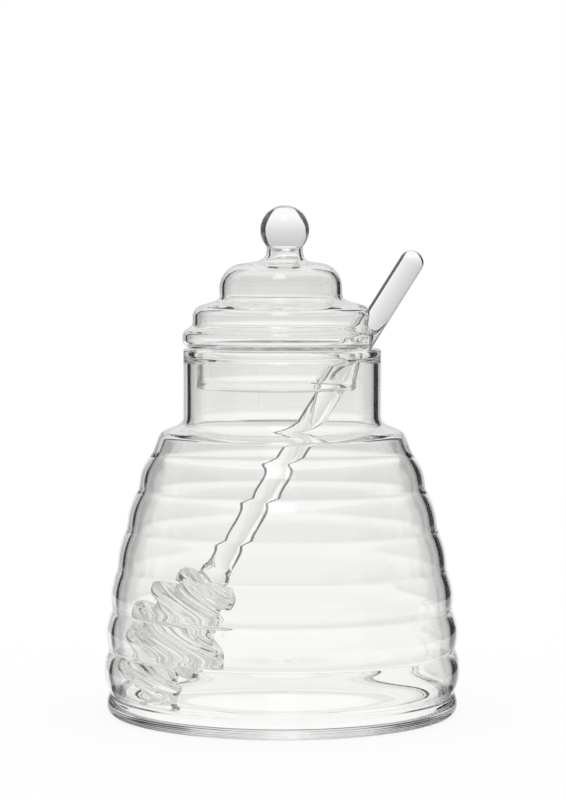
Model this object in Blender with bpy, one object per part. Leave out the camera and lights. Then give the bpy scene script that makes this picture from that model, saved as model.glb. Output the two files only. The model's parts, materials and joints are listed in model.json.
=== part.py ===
"""Beehive honey pot in clear blown glass: a ribbed jar, a lift-off lid with a ball knob, and a dipper.

The jar stands on Z = 0 with its centre line on the Z axis. The lid's notch and the dipper's handle
point to +X. Lengths are in metres, written in millimetres times MM.
"""

import math

import bmesh
import bpy
from mathutils import Matrix, Vector

MM = 0.001

# Gap left between two pieces that touch or are welded on the real pot
SEAT_GAP = 0.3 * MM
MERGE_DISTANCE = 0.001 * MM

# Jar, outside
RIM_HEIGHT = 107.3 * MM
NECK_RADIUS = 29.05 * MM
NECK_FILLET = 3.2 * MM
SHOULDER_RADIUS = 35.8 * MM
SHOULDER_DROP = 24.4 * MM  # from the rim down to the corner of the shoulder
SHOULDER_RISE = 2.6 * MM  # from that corner up to the foot of the neck
SHOULDER_FILLET = 3.8 * MM
HIVE_RADIUS = 52.4 * MM
HIVE_TOP = 76.9 * MM
WIDEST_HEIGHT = 12.0 * MM
HIVE_TAPER = 13.0 * MM  # how much narrower the hive is at its top than at its widest
TAPER_POWER = 1.81
FOOT_HEIGHT = 6.5 * MM
FOOT_ROUND = 3.1 * MM
FOOT_SET_IN = 0.85 * MM  # the foot's radius under the widest rib's
FOOT_TREAD_SET_IN = 3.2 * MM  # the flat tread's radius under the widest rib's

# Ribs, from the foot up: the height of each as a share of the mean, and the depth of each valley
RIB_HEIGHT_SHARES = (1.09, 1.0, 1.02, 0.98, 1.0, 0.91)
RIB_DEPTH = 1.8 * MM
RIB_DEPTH_SHARES = (1.0, 0.66, 0.6, 0.32, 0.38, 0.5, 0.8)
VALLEY_SOFT_SHARE = 0.3
INNER_RIB_SHARE = 0.5
RIB_STEPS = 4

# Jar, inside
JAR_WALL = 2.1 * MM
JAR_FLOOR = 2.4 * MM
FLOOR_FILLET = 3.6 * MM
RIM_WIDTH = 3.1 * MM  # the rim's bead is thicker than the wall, on the inside
RIM_BAND = 3.1 * MM  # how far down the bead reaches
RIM_OUTER_ROUND = 0.8 * MM
RIM_INNER_ROUND = 1.55 * MM

# Lid: heights are above the jar's rim
LID_WALL = 1.4 * MM
SKIRT_CLEARANCE = 1.0 * MM
SKIRT_DEPTH = 11.6 * MM
SKIRT_FILLET = 1.2 * MM
SKIRT_LIP_RADIUS = 0.95 * MM
SEAT_SLOPE_SHARE = 0.06
FLANGE_OVERHANG = 0.3 * MM
FLANGE_HEIGHT = 4.9 * MM
FLANGE_LOWER_ROUND = 2.5 * MM
FLANGE_UPPER_ROUND = 2.4 * MM
FLANGE_FALL = 2.0 * MM  # how far the flange's upper face falls towards its edge
TIER_SET_IN = 2.95 * MM  # the second tier's radius under the flange's
TIER_TOP = 12.0 * MM
TIER_FALL = 2.5 * MM
TIER_ROUND = 3.6 * MM
TIER_FOOT_FILLET = 1.6 * MM
DOME_RADIUS = 18.0 * MM
DOME_TOP = 24.1 * MM
DOME_RISE = 1.9 * MM
DOME_ROUND = 7.0 * MM
DOME_FOOT_FILLET = 2.0 * MM
COLLAR_RADIUS = 5.3 * MM
COLLAR_TOP = 29.6 * MM
COLLAR_FILLET = 3.0 * MM
COLLAR_ROUND = 0.5 * MM
COLLAR_CAP = 1.6 * MM
BORE_ROUND_SHARE = 0.6  # the round at the top of the collar's bore, of the bore's radius
KNOB_RADIUS = 7.2 * MM

# Notch in the lid, pushed in while the glass was hot
NOTCH_WIDTH_SHARE = 0.78  # its half width, of the geometric mean of its depth and the lid's radius
NOTCH_CLEARANCE = 0.9 * MM

# Dipper: places along it are measured up from the middle of its lowest ring
HANDLE_RADIUS = 3.6 * MM
HANDLE_LENGTH = 111.3 * MM
HANDLE_FOOT_FLARE = 0.9 * MM
HANDLE_FOOT_LENGTH = 4.0 * MM
RING_PITCH = 7.9 * MM
LARGEST_RING_RADIUS = 15.6 * MM
RING_RADIUS_SHARES = (0.66, 0.83, 1.0, 0.88, 0.62)  # from the lowest up
RING_HALF_THICKNESS = 2.4 * MM
RING_CORE_SHARE = 0.74  # the core beside a ring, of that ring's radius
RING_EDGE_SHARE = 0.98  # how much of a ring's thickness its round edge takes up
RING_ROOT_SHARE = 0.8  # how much of the groove between two rings its round corners take up
HEAD_END = 1.2 * MM  # the rounded end under the lowest ring
HEAD_NECK_LENGTH = 2.6 * MM
LEAN_GAP = 0.35 * MM
WALL_GAP = 0.5 * MM

LEAN_GUESS = math.radians(30.0)
LEAN_ROUNDS = 40

# Facets: round each piece, and along each rounded corner
JAR_SEGMENTS = 36
LID_SEGMENTS = 40
KNOB_SEGMENTS = 28
RING_SEGMENTS = 20
HANDLE_SEGMENTS = 16
FINE_STEPS = 4
COARSE_STEPS = 3
RING_STEPS = 2

GLASS_COLOUR = (0.93, 0.95, 0.94, 1.0)
GLASS_ROUGHNESS = 0.02
GLASS_IOR = 1.47


def clear_scene():
    for old in list(bpy.data.objects):
        bpy.data.objects.remove(old, do_unlink=True)


def blown_glass(name):
    """Clear borosilicate glass."""
    material = bpy.data.materials.new(name)
    material.use_nodes = True
    shader = material.node_tree.nodes["Principled BSDF"]
    shader.inputs["Base Color"].default_value = GLASS_COLOUR
    shader.inputs["Roughness"].default_value = GLASS_ROUGHNESS
    shader.inputs["Metallic"].default_value = 0.0
    shader.inputs["IOR"].default_value = GLASS_IOR
    shader.inputs["Transmission Weight"].default_value = 1.0
    return material


def arc(centre, radius, start, end, steps):
    """Points (r, z) of a circle's arc, angles in radians from +r towards +z, both ends included."""
    places = [start + (end - start) * i / steps for i in range(steps + 1)]
    return [(centre[0] + radius * math.cos(a), centre[1] + radius * math.sin(a)) for a in places]


def rounded(corners):
    """An outline through corners (r, z, fillet radius, steps), each corner rounded by its fillet."""
    outline = []
    for i, (r, z, radius, steps) in enumerate(corners):
        here = Vector((r, z))
        if not radius or i in (0, len(corners) - 1):
            outline.append((r, z))
            continue
        back = (Vector(corners[i - 1][:2]) - here).normalized()
        ahead = (Vector(corners[i + 1][:2]) - here).normalized()
        half = back.angle(ahead) / 2
        reach = radius / math.tan(half)
        centre = here + (back + ahead).normalized() * (radius / math.sin(half))
        first = here + back * reach - centre
        last = here + ahead * reach - centre
        start = math.atan2(first.y, first.x)
        turn = math.atan2(first.x * last.y - first.y * last.x, first.dot(last))
        outline += arc(centre, radius, start, start + turn, steps)
    return outline


def inset(outline, wall):
    """The outline moved sideways by a wall's thickness, to the left of its direction of travel."""
    moved = []
    for i, here in enumerate(outline):
        before = Vector(outline[max(i - 1, 0)])
        after = Vector(outline[min(i + 1, len(outline) - 1)])
        along = (after - before).normalized()
        moved.append((here[0] - along.y * wall, here[1] + along.x * wall))
    return moved


def turned(name, outline, segments, shaped=None):
    """A mesh turned about Z from an outline (r, z) that starts and ends on the axis.

    shaped, if given, is called with each vertex and its outline point's number before the mesh is made.
    """
    shape = bmesh.new()
    number = shape.verts.layers.int.new("outline_point")
    points = [shape.verts.new((r, 0.0, z)) for r, z in outline]
    for i, point in enumerate(points):
        point[number] = i
    edges = [shape.edges.new(pair) for pair in zip(points, points[1:])]
    bmesh.ops.spin(
        shape,
        geom=points + edges,
        cent=(0.0, 0.0, 0.0),
        axis=(0.0, 0.0, 1.0),
        angle=math.tau,
        steps=segments,
        use_merge=True,
    )
    bmesh.ops.remove_doubles(shape, verts=shape.verts, dist=MERGE_DISTANCE)
    bmesh.ops.recalc_face_normals(shape, faces=shape.faces)
    if shape.calc_volume(signed=True) < 0.0:
        bmesh.ops.reverse_faces(shape, faces=shape.faces)
    if shaped:
        for point in shape.verts:
            shaped(point.co, point[number])
    mesh = bpy.data.meshes.new(name)
    shape.to_mesh(mesh)
    shape.free()
    mesh.shade_smooth()
    return mesh


def piece(name, mesh, material, parent=None):
    made = bpy.data.objects.new(name, mesh)
    bpy.context.scene.collection.objects.link(made)
    mesh.materials.append(material)
    made.parent = parent
    return made


def guide(name, matrix):
    """An empty on a moving piece's joint axis, which carries that piece."""
    made = bpy.data.objects.new(name, None)
    bpy.context.scene.collection.objects.link(made)
    made.matrix_world = matrix
    return made


# The jar's hive: six bands between seven valleys on a tapering curve

def valley_heights():
    mean = (HIVE_TOP - FOOT_HEIGHT) / sum(RIB_HEIGHT_SHARES)
    heights = [FOOT_HEIGHT]
    for share in RIB_HEIGHT_SHARES:
        heights.append(heights[-1] + mean * share)
    return heights


def hive_curve(z):
    """The radius of the smooth curve that touches every rib."""
    rise = max(z - WIDEST_HEIGHT, 0.0) / (HIVE_TOP - WIDEST_HEIGHT)
    return HIVE_RADIUS - HIVE_TAPER * rise**TAPER_POWER


def rib_wave(t):
    """0 in the valley at either end of a band, 1 on its crest, with soft valleys."""
    soft = VALLEY_SOFT_SHARE
    peak = math.hypot(1.0, soft) - soft
    return (math.hypot(math.sin(math.pi * t), soft) - soft) / peak


def hive_outline(depth_share, steps):
    """Points (r, z) of the hive from its lowest valley up, with the valleys this share as deep."""
    heights = valley_heights()
    outline = []
    for band, (low, high) in enumerate(zip(heights, heights[1:])):
        for step in range(steps):
            t = step / steps
            z = low + (high - low) * t
            deep = RIB_DEPTH_SHARES[band] * (1.0 - t) + RIB_DEPTH_SHARES[band + 1] * t
            r = hive_curve(z) - RIB_DEPTH * depth_share * deep * (1.0 - rib_wave(t))
            outline.append((r, z))
    r = hive_curve(HIVE_TOP) - RIB_DEPTH * depth_share * RIB_DEPTH_SHARES[-1]
    outline.append((r, HIVE_TOP))
    return outline


def jar_sides(depth_share, steps):
    """The jar's side from its lowest valley to the top of the straight neck."""
    hive = hive_outline(depth_share, steps)
    shoulder = RIM_HEIGHT - SHOULDER_DROP
    return hive[:-1] + rounded(
        [
            (*hive[-1], 0.0, 0),
            (SHOULDER_RADIUS, shoulder, SHOULDER_FILLET, steps),
            (NECK_RADIUS, shoulder + SHOULDER_RISE, NECK_FILLET, steps - 1),
            (NECK_RADIUS, RIM_HEIGHT - RIM_BAND, 0.0, 0),
        ]
    )


def jar_foot():
    """The foot from the centre of the flat tread to just under the lowest valley."""
    tread = HIVE_RADIUS - FOOT_TREAD_SET_IN
    foot = HIVE_RADIUS - FOOT_SET_IN
    width = foot - tread
    quarter = [math.pi / 2 * i / FINE_STEPS for i in range(FINE_STEPS + 1)]
    lower = [(tread + width * math.sin(a), FOOT_ROUND * (1.0 - math.cos(a))) for a in quarter]
    valley = hive_outline(1.0, RIB_STEPS)[0][0]
    upper_rise = FOOT_HEIGHT - FOOT_ROUND
    upper = [
        (foot - (foot - valley) * t * t, FOOT_ROUND + upper_rise * t)
        for t in (i / COARSE_STEPS for i in range(1, COARSE_STEPS))
    ]
    return [(0.0, 0.0)] + lower + upper


def rim_inner_centre():
    """The middle of the fire-polished round on the inner side of the jar's rim."""
    return (NECK_RADIUS - RIM_WIDTH + RIM_INNER_ROUND, RIM_HEIGHT - RIM_INNER_ROUND)


def rim_outline():
    """Over the rim's bead, from its outer side to its inner side."""
    outer_centre = (NECK_RADIUS - RIM_OUTER_ROUND, RIM_HEIGHT - RIM_OUTER_ROUND)
    outer = arc(outer_centre, RIM_OUTER_ROUND, 0.0, math.pi / 2, COARSE_STEPS)
    inner = arc(rim_inner_centre(), RIM_INNER_ROUND, math.pi / 2, math.pi, COARSE_STEPS)
    return outer + inner


def jar_outline():
    """The whole section: up the outside, over the rim, and down the inside to the floor's centre."""
    outside = jar_sides(1.0, RIB_STEPS)
    inside = inset(jar_sides(INNER_RIB_SHARE, RIB_STEPS - 1), JAR_WALL)
    corner_radius = inside[0][0]
    floor_corner = rounded(
        [
            (*inside[1], 0.0, 0),
            (corner_radius, JAR_FLOOR, FLOOR_FILLET, COARSE_STEPS),
            (0.0, JAR_FLOOR, 0.0, 0),
        ]
    )
    return jar_foot() + outside[:-1] + rim_outline() + inside[:1:-1] + floor_corner


# The dipper leans in the jar: its head lies in the corner of the floor and its handle on the rim

def ring_sizes():
    """(place along the dipper, radius) of each ring, from the lowest up."""
    return [
        (RING_PITCH * i, LARGEST_RING_RADIUS * share) for i, share in enumerate(RING_RADIUS_SHARES)
    ]


def inner_wall(z):
    """A radius that the jar's inner wall never comes inside, at this height."""
    return hive_curve(z) - RIB_DEPTH * INNER_RIB_SHARE - JAR_WALL


def head_place(tilt):
    """(x, z) of the lowest ring's middle, with the head against the floor and the jar's left wall."""
    lean = math.sin(tilt)
    upright = math.cos(tilt)
    head = head_outline()
    z = JAR_FLOOR + SEAT_GAP - min(along * upright - radius * lean for radius, along in head)
    x = WALL_GAP - min(
        inner_wall(z + along * upright + radius * lean) + along * lean - radius * upright
        for radius, along in head
    )
    return x, z


def dipper_tilt():
    """The angle from upright at which the handle lies on the inner side of the jar's rim."""
    rim_r, rim_z = rim_inner_centre()
    tilt = LEAN_GUESS
    for _ in range(LEAN_ROUNDS):
        x, z = head_place(tilt)
        reach = math.hypot(rim_r - x, rim_z - z)
        aside = math.asin((HANDLE_RADIUS + LEAN_GAP + RIM_INNER_ROUND) / reach)
        tilt = math.atan2(rim_r - x, rim_z - z) - aside
    return tilt


def head_outline():
    """The dipper's head: rounded rings on a core that swells with them."""
    rings = ring_sizes()
    half = RING_HALF_THICKNESS
    groove = RING_PITCH - 2 * half
    cores = [min(a[1], b[1]) * RING_CORE_SHARE for a, b in zip(rings, rings[1:])]
    neck_radius = HANDLE_RADIUS + HANDLE_FOOT_FLARE
    cores = [rings[0][1] * RING_CORE_SHARE] + cores + [neck_radius]
    corners = [(0.0, -half - HEAD_END, 0.0, 0), (cores[0], -half - HEAD_END, HEAD_END, 2)]
    for (along, radius), below, above in zip(rings, cores, cores[1:]):
        edge_round = min(half, (radius - below) / 2) * RING_EDGE_SHARE
        root_round = min(groove, radius - below) / 2 * RING_ROOT_SHARE
        if along:
            corners.append((below, along - half, root_round, RING_STEPS - 1))
        corners.append((radius, along - half, edge_round, RING_STEPS))
        edge_round = min(half, (radius - above) / 2) * RING_EDGE_SHARE
        root_round = min(groove, radius - above) / 2 * RING_ROOT_SHARE
        corners.append((radius, along + half, edge_round, RING_STEPS))
        corners.append((above, along + half, root_round, RING_STEPS - 1))
    top = rings[-1][0] + half + HEAD_NECK_LENGTH
    corners += [(neck_radius, top, 0.0, 0), (0.0, top, 0.0, 0)]
    return rounded(corners)


def handle_outline():
    """The handle: a rod that flares a little at its foot and ends in a round tip."""
    foot = ring_sizes()[-1][0] + RING_HALF_THICKNESS + HEAD_NECK_LENGTH + SEAT_GAP
    tip = foot + HANDLE_LENGTH - HANDLE_RADIUS
    flare = [
        (HANDLE_RADIUS + HANDLE_FOOT_FLARE * (1.0 - t) ** 2, foot + HANDLE_FOOT_LENGTH * t)
        for t in (i / COARSE_STEPS for i in range(COARSE_STEPS + 1))
    ]
    end = arc((0.0, tip), HANDLE_RADIUS, 0.0, math.pi / 2, FINE_STEPS)
    return [(0.0, foot)] + flare + end[:-1] + [(0.0, tip + HANDLE_RADIUS)]


# The lid, from its collar down; heights above the jar's rim

def flange_radius():
    return NECK_RADIUS + FLANGE_OVERHANG


def skirt_radius():
    return NECK_RADIUS - RIM_WIDTH - SKIRT_CLEARANCE


def lid_sides(steps):
    """The lid's outside from its collar to the straight part of its skirt."""
    tier = flange_radius() - TIER_SET_IN
    skirt = skirt_radius()
    seat_width = flange_radius() - skirt
    seat_outer = SEAT_GAP + seat_width * SEAT_SLOPE_SHARE
    return rounded(
        [
            (COLLAR_RADIUS, COLLAR_TOP - COLLAR_ROUND, 0.0, 0),
            (COLLAR_RADIUS, DOME_TOP + DOME_RISE, COLLAR_FILLET, steps),
            (DOME_RADIUS, DOME_TOP, DOME_ROUND, steps + 1),
            (DOME_RADIUS, TIER_TOP + TIER_FALL, DOME_FOOT_FILLET, steps),
            (tier, TIER_TOP, TIER_ROUND, steps),
            (tier, FLANGE_HEIGHT + FLANGE_FALL, TIER_FOOT_FILLET, steps - 1),
            (flange_radius(), FLANGE_HEIGHT, FLANGE_UPPER_ROUND, steps),
            (flange_radius(), seat_outer, FLANGE_LOWER_ROUND, steps),
            (skirt, SEAT_GAP - seat_width * SEAT_SLOPE_SHARE, SKIRT_FILLET, steps),
            (skirt, -SKIRT_DEPTH + 2 * SKIRT_LIP_RADIUS, 0.0, 0),
        ]
    )


def lid_section():
    """The section of the lid's glass as (r, z) points, and how far each lies behind the outside.

    It runs over the outside, round the lip and back up the inside.
    """
    outside = lid_sides(COARSE_STEPS)
    inside = inset(lid_sides(COARSE_STEPS - 1), -LID_WALL)[:1:-1]
    corner = (COLLAR_RADIUS - COLLAR_ROUND, COLLAR_TOP - COLLAR_ROUND)
    top = [(0.0, COLLAR_TOP)] + arc(corner, COLLAR_ROUND, math.pi / 2, 0.0, 2)[:-1]
    lip_centre = (skirt_radius() - LID_WALL / 2, -SKIRT_DEPTH + SKIRT_LIP_RADIUS)
    lip = arc(lip_centre, SKIRT_LIP_RADIUS, 0.0, -math.pi, 2 * COARSE_STEPS)
    bore = COLLAR_RADIUS - LID_WALL
    cap = COLLAR_TOP - COLLAR_CAP
    roof = rounded(
        [
            (*inside[-1], 0.0, 0),
            (bore, cap, bore * BORE_ROUND_SHARE, 2),
            (0.0, cap, 0.0, 0),
        ]
    )[1:]
    behind = [0.0] * len(top + outside)
    behind += [skirt_radius() - r for r, _ in lip]
    behind += [LID_WALL] * len(inside + roof)
    return top + outside + lip + inside + roof, behind


def notch_wall(z, tilt):
    """The x that the lid's outside is pushed back to, this high above the rim, to clear the handle."""
    x, foot = head_place(tilt)
    handle_x = x + (z + RIM_HEIGHT - foot) * math.tan(tilt)
    return handle_x - HANDLE_RADIUS / math.cos(tilt) - NOTCH_CLEARANCE


def notched(co, behind, tilt):
    """Pushes a point of the lid inwards at +X, so that its outside and inside follow the handle.

    The deeper the dent, the wider it is, as where a round tool is pressed in.
    """
    radius = math.hypot(co.x, co.y) + behind
    depth = max(radius - notch_wall(co.z, tilt), 0.0)
    half_width = NOTCH_WIDTH_SHARE * math.sqrt(depth * radius)
    if co.x > 0.0 and abs(co.y) < half_width:
        co.x -= depth * (1.0 - (co.y / half_width) ** 2) ** 2


def knob_outline():
    """The solid ball, flat where it is welded to the collar."""
    seat = COLLAR_TOP + SEAT_GAP
    centre = seat + math.sqrt(KNOB_RADIUS**2 - COLLAR_RADIUS**2)
    start = math.atan2(seat - centre, COLLAR_RADIUS)
    ball = arc((0.0, centre), KNOB_RADIUS, start, math.pi / 2, 3 * COARSE_STEPS + 1)
    return [(0.0, seat)] + ball[:-1] + [(0.0, centre + KNOB_RADIUS)]


def build():
    clear_scene()
    tilt = dipper_tilt()

    piece("jar_body", turned("jar_body", jar_outline(), JAR_SEGMENTS), blown_glass("jar_glass"))

    lid_guide = guide("lid_lift_guide", Matrix.Translation((0.0, 0.0, RIM_HEIGHT)))
    section, behind = lid_section()
    lid_mesh = turned(
        "lid_shell", section, LID_SEGMENTS, lambda co, number: notched(co, behind[number], tilt)
    )
    piece("lid_shell", lid_mesh, blown_glass("lid_glass"), lid_guide)
    knob_mesh = turned("lid_knob", knob_outline(), KNOB_SEGMENTS)
    piece("lid_knob", knob_mesh, blown_glass("knob_glass"), lid_guide)

    x, z = head_place(tilt)
    placed = Matrix.Translation((x, 0.0, z)) @ Matrix.Rotation(tilt, 4, "Y")
    dipper_guide = guide("dipper_slide_guide", placed)
    head_mesh = turned("dipper_head", head_outline(), RING_SEGMENTS)
    piece("dipper_head", head_mesh, blown_glass("head_glass"), dipper_guide)
    handle_mesh = turned("dipper_handle", handle_outline(), HANDLE_SEGMENTS)
    piece("dipper_handle", handle_mesh, blown_glass("handle_glass"), dipper_guide)


build()
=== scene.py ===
"""The looks of a beehive honey pot in clear blown glass, and the studio that it stands in.

Every piece is one closed mesh of fused glass, so that no gap at a weld refracts. Lengths are in metres,
written in millimetres times MM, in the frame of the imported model: +Z up, the lid's notch at +X.
"""

import json
import math

import bpy
from bpy.props import FloatProperty, FloatVectorProperty, IntProperty, PointerProperty
from mathutils import Matrix, Vector

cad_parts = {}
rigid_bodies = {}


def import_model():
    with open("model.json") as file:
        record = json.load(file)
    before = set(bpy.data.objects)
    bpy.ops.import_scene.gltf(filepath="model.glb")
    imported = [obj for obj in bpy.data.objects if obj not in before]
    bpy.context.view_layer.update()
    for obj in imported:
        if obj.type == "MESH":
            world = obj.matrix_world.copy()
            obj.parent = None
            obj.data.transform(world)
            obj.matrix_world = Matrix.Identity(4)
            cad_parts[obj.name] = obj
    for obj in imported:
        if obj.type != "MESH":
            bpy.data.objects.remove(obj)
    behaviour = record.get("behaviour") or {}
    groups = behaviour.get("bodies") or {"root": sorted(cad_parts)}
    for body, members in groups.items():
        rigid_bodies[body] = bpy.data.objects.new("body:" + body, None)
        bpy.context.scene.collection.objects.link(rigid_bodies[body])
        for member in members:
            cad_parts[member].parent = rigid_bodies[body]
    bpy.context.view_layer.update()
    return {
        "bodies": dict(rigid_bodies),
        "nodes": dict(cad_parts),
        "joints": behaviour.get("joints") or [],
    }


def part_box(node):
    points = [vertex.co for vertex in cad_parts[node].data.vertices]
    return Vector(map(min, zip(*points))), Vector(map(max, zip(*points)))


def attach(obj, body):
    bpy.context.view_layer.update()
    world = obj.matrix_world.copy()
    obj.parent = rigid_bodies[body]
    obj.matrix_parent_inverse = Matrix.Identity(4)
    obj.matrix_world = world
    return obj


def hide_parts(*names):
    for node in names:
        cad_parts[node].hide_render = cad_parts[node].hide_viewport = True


bl_info = {
    "name": "Beehive Honey Pot",
    "version": (1, 0, 0),
    "blender": (4, 5, 0),
    "location": "3D View > Sidebar > Honey Pot",
    "description": "Blows a ribbed glass honey pot with its lid and dipper, and sets up its studio",
    "category": "Object",
}

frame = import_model()

MM = 0.001

# Jar: how its side runs between the sizes that a user would change
RIM_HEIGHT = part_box("jar_body")[1].z
HIVE_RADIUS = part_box("jar_body")[1].x
NECK_FILLET = 3.2 * MM
SHOULDER_DROP = 24.4 * MM  # from the rim down to the corner of the shoulder
SHOULDER_RISE = 2.6 * MM
SHOULDER_FILLET = 3.8 * MM
WIDEST_HEIGHT = 12.0 * MM
TAPER_POWER = 1.81
FOOT_ROUND = 3.1 * MM
FOOT_SET_IN = 0.85 * MM
FOOT_TREAD_SET_IN = 3.2 * MM
FLOOR_FILLET = 3.6 * MM
RIM_WIDTH = 3.1 * MM  # the rim's bead is thicker than the wall, on the inside
RIM_BAND = 3.1 * MM  # how far down the bead reaches
RIM_OUTER_ROUND = 0.8 * MM
RIM_INNER_ROUND = 0.9 * MM
RIM_STEP = 0.6 * MM
RIB_HEIGHT_SHARES = (1.09, 1.0, 1.02, 0.98, 1.0, 0.91)  # from the foot up, of the mean height
RIB_DEPTH_SHARES = (1.0, 0.66, 0.6, 0.32, 0.38, 0.5, 0.8)  # from the lowest valley up
VALLEY_SOFT_SHARE = 0.07
INNER_VALLEY_SOFT_SHARE = 0.3
INNER_RIB_SHARE = 0.75

# Lid: heights are above the jar's rim
SEAT_GAP = 0.3 * MM
SKIRT_FILLET = 1.2 * MM
SKIRT_LIP_RADIUS = 0.95 * MM
SEAT_SLOPE_SHARE = 0.06
FLANGE_OVERHANG = 0.3 * MM
FLANGE_LOWER_ROUND = 2.5 * MM
FLANGE_UPPER_ROUND = 2.4 * MM
FLANGE_FALL = 2.0 * MM
TIER_SET_IN = 2.95 * MM
TIER_FALL = 2.5 * MM
TIER_ROUND = 3.6 * MM
TIER_FOOT_FILLET = 1.6 * MM
DOME_RISE = 1.9 * MM
DOME_ROUND = 7.0 * MM
DOME_FOOT_FILLET = 2.0 * MM
COLLAR_TOP = 29.6 * MM
COLLAR_FILLET = 3.0 * MM
COLLAR_CAP = 1.6 * MM
BORE_ROUND_SHARE = 0.6
LEAN_STOPS = (  # height above the rim, and how far the hand left the lid's glass to the right
    (12.0 * MM, 0.0),
    (17.0 * MM, -0.4 * MM),
    (23.0 * MM, -0.3 * MM),
    (28.0 * MM, 0.75 * MM),
)

# Dipper: places along it are measured up from the middle of its lowest ring
HANDLE_FOOT_FLARE = 0.9 * MM
HANDLE_FOOT_LENGTH = 4.0 * MM
RING_RADIUS_SHARES = (0.66, 0.83, 1.0, 0.88, 0.62)  # from the lowest up, of the largest
RING_CORE_SHARE = 0.74
RING_EDGE_SHARE = 0.98
RING_ROOT_SHARE = 0.8
HEAD_END = 1.2 * MM
HEAD_NECK_LENGTH = 2.6 * MM
HEAD_TOP = 36.0 * MM
HEAD_FADE = 3.0 * MM  # the cords fade out over this much under the head's top

# Glass: how its waves and cords run, apart from their sizes
WAVE_DETAIL = 1.0
WAVE_ROUGHNESS = 0.35
CORD_WANDER = 1.2
CORD_DETAIL = 1.0
CORD_DETAIL_SCALE = 0.5
WAVES_PER_UNIT = 3.18  # the wave texture's own waves in one unit, at a scale of 1

# Smoothness of the outlines
RIB_STEPS = 18
ROUND_STEPS = 8
RIM_STEPS = 16
BALL_STEPS = 40
FINE_GAP = 1.2 * MM  # outline points lie no further apart than this

# Camera: the photograph's view, 2898 pixels of focal length on an image 800 pixels high
IMAGE_HEIGHT = 800
FOCAL_PIXELS = 2898
SENSOR = 36.0

# Surround: directions are degrees from the photograph's line of sight and above the horizon
SOLID_SWEEP = (  # height and brightness, as rods, balls and plain reflections show it
    (-26.0, 1.0),
    (-14.0, 0.89),
    (-5.0, 0.8),
    (0.0, 0.74),
    (8.0, 0.66),
    (25.0, 0.58),
)
WALL_SWEEP = (  # and as thin walls show it
    (-14.0, 1.0),
    (-9.0, 0.98),
    (-6.5, 0.94),
    (-4.5, 0.86),
    (-3.3, 0.81),
    (-1.5, 0.74),
    (1.0, 0.69),
    (5.0, 0.71),
    (12.0, 0.84),
)
TOP_START = 35.0  # from here up the sweep gives way to the light overhead
TOP_END = 65.0

# Flags, as rods and balls show them
FLAG_HEIGHTS = (-29.0, 0.0, 30.0)
RIGHT_FLAG_STARTS = (34.0, 39.5, 39.5)  # at those heights
LEFT_FLAG_STARTS = (35.0, 46.5, 58.0)
FLAG_END = 82.0
FLAG_FOOT = -56.0
FLAG_TOP = 56.0
FLAG_SOFT = 2.0

# Flags, as light that turned back inside a wall shows them
WALL_FLAG_HEIGHTS = (-8.5, -3.0)
RIGHT_WALL_FLAG_STARTS = (17.0, 22.0)
LEFT_WALL_FLAG_STARTS = (26.0, 28.0)
WALL_FLAG_END = 50.0
WALL_FLAG_FOOT = -22.0
WALL_FLAG_TOP = 45.0
TURN_OF_SECOND_BOUNCE = 7.0  # light that turned back twice meets the flags this much sooner

# Flags, as plain reflections and the pot's inside show them
MIRRORED_FLAG_START = 20.0
MIRRORED_FLAG_TOP = 25.0
FLAG_GAP = (-14.0, -6.5)  # plain reflections show no flag between these heights
SHELTERED_FLAG_START = 38.0

# Weak soft flags further round, from beside the pot towards the camera
NEAR_FLAG = (86.0, 129.0)
NEAR_FLAG_FOOT = -39.0
NEAR_FLAG_TOP = 44.0
NEAR_FLAG_SOFT = 14.0
NEAR_FLAG_SHARE = 0.3

# Sheltered light met so many surfaces that it mostly comes from glass inside the pot
SHELTERED_TOP_LIGHT = 0.3
SHELTERED_LOW_START = 22.0  # below the horizon
SHELTERED_LOW_END = 45.0
SHELTERED_BY_WALLS = 0.1  # how much of the sweep it shows as thin walls do
LED_FOOT = 5.0  # light led along inside the floor comes out between these heights
LED_TOP = 16.0
LED_SOFT = 3.0

# Softbox in front, as the glass mirrors it
WINDOW_HALF_WIDTH = 16.0
WINDOW_FOOT = 40.0
WINDOW_TOP = 76.0
WINDOW_SOFT = 9.0

# Ray Depth is one more than the number of surfaces that light met
SURFACES_OF_TWO_WALLS = 4.0
STRAIGHT_THROUGH = 1.0  # left over from fours, after whole walls
MOST_LEFT_BY_WALLS = 1.5  # left over from fours: less past walls, more past mirrors, rods and balls
SHELTERED_DEPTH = 5.5
SECOND_BOUNCE_DEPTH = 6.0
GLASS_BOUNCES = 32

# Floor
FLOOR_RADIUS = 3000.0 * MM
FLOOR_SEGMENTS = 64
FLOOR_GAP = 0.05 * MM  # keeps the floor clear of the jar's flat tread


def linear(hex_colour):
    """An sRGB hex colour as linear red, green and blue."""
    parts = [int(hex_colour[i : i + 2], 16) / 255 for i in (0, 2, 4)]
    return tuple(c / 12.92 if c <= 0.04045 else ((c + 0.055) / 1.055) ** 2.4 for c in parts)


WHITE = (*linear("FFFFFF"), 1.0)


def joint_line(name):
    """A slide joint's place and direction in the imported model."""
    joint = next(j for j in frame["joints"] if j["name"] == name)
    return Vector(joint["pos_m"]), Vector(joint["axis"]).normalized()


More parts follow.
